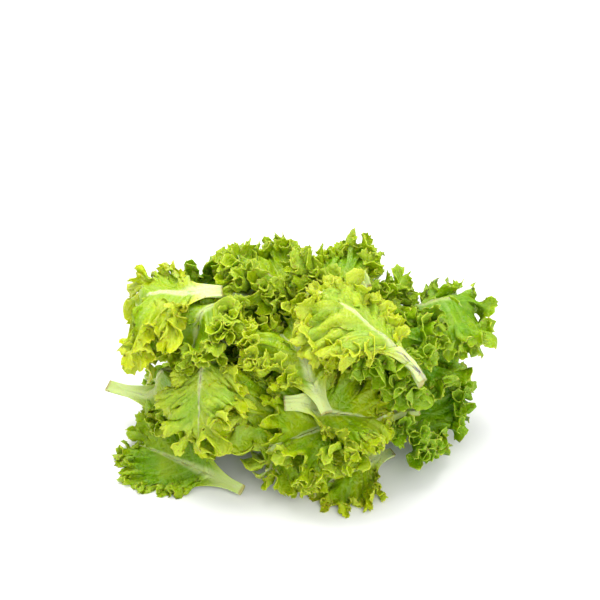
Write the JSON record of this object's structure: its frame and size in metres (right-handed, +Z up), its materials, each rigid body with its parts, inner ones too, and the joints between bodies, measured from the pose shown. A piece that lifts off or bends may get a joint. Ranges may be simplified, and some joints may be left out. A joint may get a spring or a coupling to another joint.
{
  "type": "lollo bionda lettuce",
  "caption": "Heap of loose lollo bionda lettuce leaves, each a pale stalk and rib with a thin blade and a tightly ruffled edge, lying as dropped on a table.",
  "frame": {"origin": "on the table under the middle of the heap", "axes": "+Z up, +X along the heap's longest way, -Y towards the side that the picture shows"},
  "size_m": [0.279, 0.221, 0.1409],
  "materials": {
    "green_leaf": "fresh green leaf, slightly waxy",
    "mid_leaf": "yellow-green leaf, slightly waxy",
    "lime_leaf": "pale lime leaf, slightly waxy"
  },
  "bodies": {
    "root": {"leaf_floor_back_left": "green_leaf", "leaf_floor_back_right": "green_leaf", "leaf_floor_back": "mid_leaf", "leaf_floor_left": "mid_leaf", "leaf_front": "lime_leaf", "leaf_floor_right": "green_leaf", "leaf_left_inner": "green_leaf", "leaf_left_stalk": "mid_leaf", "leaf_front_frill": "mid_leaf", "leaf_right_stalk": "mid_leaf", "leaf_front_middle": "lime_leaf", "leaf_back": "green_leaf", "leaf_back_left": "mid_leaf", "leaf_back_right": "green_leaf", "leaf_back_middle": "green_leaf", "leaf_middle": "green_leaf", "leaf_front_left": "lime_leaf", "leaf_centre": "lime_leaf", "leaf_right_frill": "green_leaf", "leaf_right_tuft": "green_leaf", "leaf_back_top": "mid_leaf", "leaf_left_tuft": "mid_leaf", "leaf_left_fan": "lime_leaf", "leaf_right_fan": "green_leaf", "leaf_upper_left": "green_leaf", "leaf_right_neck": "lime_leaf", "leaf_top_left": "mid_leaf", "leaf_top_right": "green_leaf", "leaf_top": "mid_leaf"}
  },
  "joints": []
}
